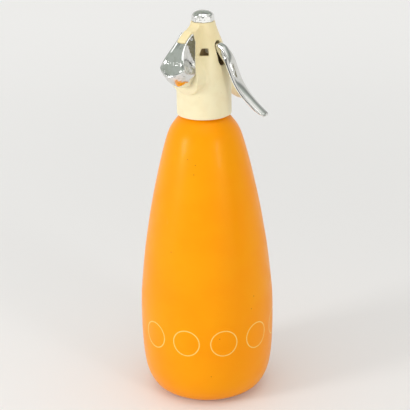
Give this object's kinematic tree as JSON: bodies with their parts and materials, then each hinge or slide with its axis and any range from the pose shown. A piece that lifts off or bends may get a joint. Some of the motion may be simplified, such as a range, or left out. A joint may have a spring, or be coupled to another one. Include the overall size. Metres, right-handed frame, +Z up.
{
  "type": "soda siphon",
  "caption": "Refillable soda siphon: lacquered metal bottle, screw-on plastic head, squeeze lever, spout, hinged charger holder and internal valve with dip tube.",
  "frame": {"origin": "middle of the bottle's flat foot, on the surface it stands on", "axes": "+Z up along the bottle's axis, +X towards the lever's tip, +Y towards the spout's tip; the charger holder is on the -Y side"},
  "size_m": [0.116, 0.1161, 0.3296],
  "materials": {
    "orange_lacquer": "glossy warm orange lacquer with a row of thin pale circles and light wear",
    "cream_plastic": "smooth satin moulding, yellowed with age",
    "chrome": "bright plating on die-cast metal, lightly pitted",
    "brass": "turned",
    "steel": "turned stainless steel",
    "aluminium": "plain",
    "rubber": "matt black",
    "tube_plastic": "milky plastic"
  },
  "bodies": {
    "bottle": {"bottle": "orange_lacquer"},
    "neck_seal": {"neck_gasket": "rubber"},
    "head": {"head_housing": "cream_plastic", "neck_collar": "aluminium", "cap_nut": "chrome", "cap_washer": "rubber", "valve_body": "brass", "stem_guide": "brass", "stem_seal": "rubber", "valve_spring": "steel", "dip_tube": "tube_plastic", "dip_tube_nut": "brass", "level_tube": "tube_plastic", "lever_pin": "steel", "lever_pin_clip_left": "steel", "lever_pin_clip_right": "steel", "spout": "cream_plastic", "spout_liner": "steel", "spout_nozzle": "steel", "socket_insert": "brass", "piercing_pin": "steel", "charger_seal": "rubber", "gas_filter": "steel", "check_ball": "rubber", "holder_pin": "steel"},
    "valve": {"valve_stem": "steel", "valve_seal": "rubber", "spring_seat": "brass"},
    "lever": {"lever": "chrome"},
    "holder": {"charger_holder": "chrome", "holder_pad": "rubber"}
  },
  "joints": [
    {"name": "head_lift", "type": "slide", "parent": "bottle", "child": "neck_seal", "axis": [0, 0, 1], "range_m": [0, 0.0121]},
    {"name": "head_turn", "type": "hinge", "parent": "neck_seal", "child": "head", "pos_m": [0, 0, 0.262], "axis": [0, 0, 1], "range_deg": [0, 1440]},
    {"name": "lever_press", "type": "hinge", "parent": "head", "child": "lever", "pos_m": [0.0105, 0, 0.3], "axis": [0, 1, 0], "range_deg": [0, 14], "stiffness_Nm_per_rad": 0.8, "springref_deg": -20.05},
    {"name": "valve_lift", "type": "slide", "parent": "head", "child": "valve", "axis": [0, 0, 1], "range_m": [0, 0.0027], "deforming": ["valve_spring"]},
    {"name": "holder_swing", "type": "hinge", "parent": "head", "child": "holder", "pos_m": [0, -0.0235, 0.3115], "axis": [-1, 0, 0], "range_deg": [0, 60]}
  ],
  "couplings": [
    {"joint": "head_lift", "follows": "head_turn", "m_per_rad": 0.00047746},
    {"joint": "valve_lift", "follows": "lever_press", "m_per_rad": 0.0104}
  ]
}
